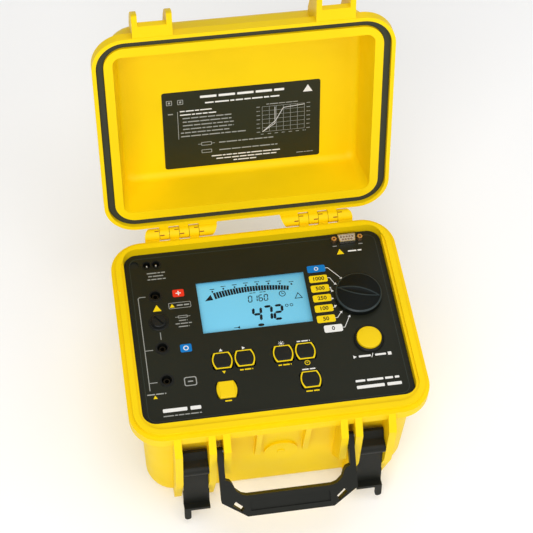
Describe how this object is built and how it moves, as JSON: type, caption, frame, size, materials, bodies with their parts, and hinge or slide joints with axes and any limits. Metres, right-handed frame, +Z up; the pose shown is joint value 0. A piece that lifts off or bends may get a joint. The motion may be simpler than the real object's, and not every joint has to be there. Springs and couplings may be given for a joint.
{
  "type": "insulation resistance tester",
  "caption": "Insulation resistance tester in a hinged yellow carrying case with latches, a folding handle, a panel with display, range knob, keys and safety test sockets.",
  "frame": {"origin": "centre of the flat bottom face of the base", "axes": "+X to the user's right, +Y towards the hinges, +Z up out of the instrument panel"},
  "size_m": [0.27, 0.3693, 0.3621],
  "materials": {
    "case_yellow": "injection-moulded yellow plastic with a fine texture",
    "seal_rubber": "soft dark sealing rubber",
    "label_black": "printed dark film",
    "pin_steel": "plain steel",
    "latch_black": "black moulded nylon",
    "panel_black": "dark moulded plastic",
    "overlay_film": "dark grey-green printed film, fine matt texture",
    "clear_window": "clear window",
    "display_glass": "pale blue liquid crystal display",
    "knob_black": "black moulded plastic",
    "button_yellow": "yellow moulded plastic",
    "key_rubber": "black silicone rubber",
    "socket_black": "black insulating plastic",
    "contact_brass": "gold-plated brass",
    "board_green": "green solder mask",
    "core_iron": "varnished steel laminations",
    "coil_copper": "taped winding",
    "cell_sleeve": "shrink sleeve"
  },
  "bodies": {
    "base": {"base_shell": "case_yellow", "hinge_pin_left": "pin_steel", "hinge_pin_right": "pin_steel", "latch_pin_left": "pin_steel", "latch_pin_right": "pin_steel", "handle_pins": "pin_steel", "front_panel": "panel_black", "panel_seal": "seal_rubber", "panel_overlay": "overlay_film", "display_window": "clear_window", "display_module": "display_glass", "rotary_switch": "socket_black", "switch_nut": "pin_steel", "start_collar": "socket_black", "start_switch": "socket_black", "key_mat": "key_rubber", "socket_positive": "socket_black", "socket_guard": "socket_black", "socket_negative": "socket_black", "contact_positive": "contact_brass", "contact_guard": "contact_brass", "contact_negative": "contact_brass", "fuse_cap": "socket_black", "fuse_holder": "socket_black", "fuse_link": "pin_steel", "mains_inlet": "socket_black", "inlet_pins": "pin_steel", "serial_shell": "pin_steel", "serial_insert": "socket_black", "serial_pins": "contact_brass", "serial_jack_screws": "pin_steel", "panel_posts": "pin_steel", "case_screws": "pin_steel", "main_board": "board_green", "board_spacers": "pin_steel", "board_screws": "pin_steel", "power_board": "board_green", "power_board_screws": "pin_steel", "transformer_core": "core_iron", "transformer_coil": "coil_copper", "battery_pack": "cell_sleeve", "battery_strap": "pin_steel"},
    "lid": {"case_lid": "case_yellow", "lid_gasket": "seal_rubber", "lid_label": "label_black"},
    "latch_left": {"latch_left": "latch_black"},
    "latch_right": {"latch_right": "latch_black"},
    "handle": {"carry_handle": "latch_black"},
    "range_knob": {"range_knob": "knob_black", "knob_shaft": "pin_steel"},
    "start_button": {"start_button": "button_yellow"},
    "key_second": {"key_second": "button_yellow"},
    "key_display": {"key_display": "key_rubber"},
    "key_ratio": {"key_ratio": "key_rubber"},
    "key_timer": {"key_timer": "key_rubber"},
    "key_alarm": {"key_alarm": "key_rubber"},
    "key_program": {"key_program": "key_rubber"}
  },
  "joints": [
    {"name": "lid_hinge", "type": "hinge", "parent": "base", "child": "lid", "pos_m": [0, 0.114, 0.128], "axis": [1, 0, 0], "range_deg": [0, 104.5]},
    {"name": "latch_left_hinge", "type": "hinge", "parent": "base", "child": "latch_left", "pos_m": [-0.08025, -0.113, 0.081], "axis": [-1, 0, 0], "range_deg": [0, 170]},
    {"name": "latch_right_hinge", "type": "hinge", "parent": "base", "child": "latch_right", "pos_m": [0.08025, -0.113, 0.081], "axis": [-1, 0, 0], "range_deg": [0, 170]},
    {"name": "handle_hinge", "type": "hinge", "parent": "base", "child": "handle", "pos_m": [0, -0.11, 0.104], "axis": [-1, 0, 0], "range_deg": [-17, 75]},
    {"name": "range_knob_turn", "type": "hinge", "parent": "base", "child": "range_knob", "pos_m": [0.0898, 0.0238, 0.123], "axis": [0, 0, 1], "range_deg": [-40, 80]},
    {"name": "start_button_press", "type": "slide", "parent": "base", "child": "start_button", "axis": [0, 0, -1], "range_m": [0, 0.003], "stiffness_N_per_m": 800, "springref_m": -0.001},
    {"name": "key_second_press", "type": "slide", "parent": "base", "child": "key_second", "axis": [0, 0, -1], "range_m": [0, 0.0012], "stiffness_N_per_m": 600, "springref_m": -0.001},
    {"name": "key_display_press", "type": "slide", "parent": "base", "child": "key_display", "axis": [0, 0, -1], "range_m": [0, 0.0012], "stiffness_N_per_m": 600, "springref_m": -0.001},
    {"name": "key_ratio_press", "type": "slide", "parent": "base", "child": "key_ratio", "axis": [0, 0, -1], "range_m": [0, 0.0012], "stiffness_N_per_m": 600, "springref_m": -0.001},
    {"name": "key_timer_press", "type": "slide", "parent": "base", "child": "key_timer", "axis": [0, 0, -1], "range_m": [0, 0.0012], "stiffness_N_per_m": 600, "springref_m": -0.001},
    {"name": "key_alarm_press", "type": "slide", "parent": "base", "child": "key_alarm", "axis": [0, 0, -1], "range_m": [0, 0.0012], "stiffness_N_per_m": 600, "springref_m": -0.001},
    {"name": "key_program_press", "type": "slide", "parent": "base", "child": "key_program", "axis": [0, 0, -1], "range_m": [0, 0.0012], "stiffness_N_per_m": 600, "springref_m": -0.001}
  ]
}
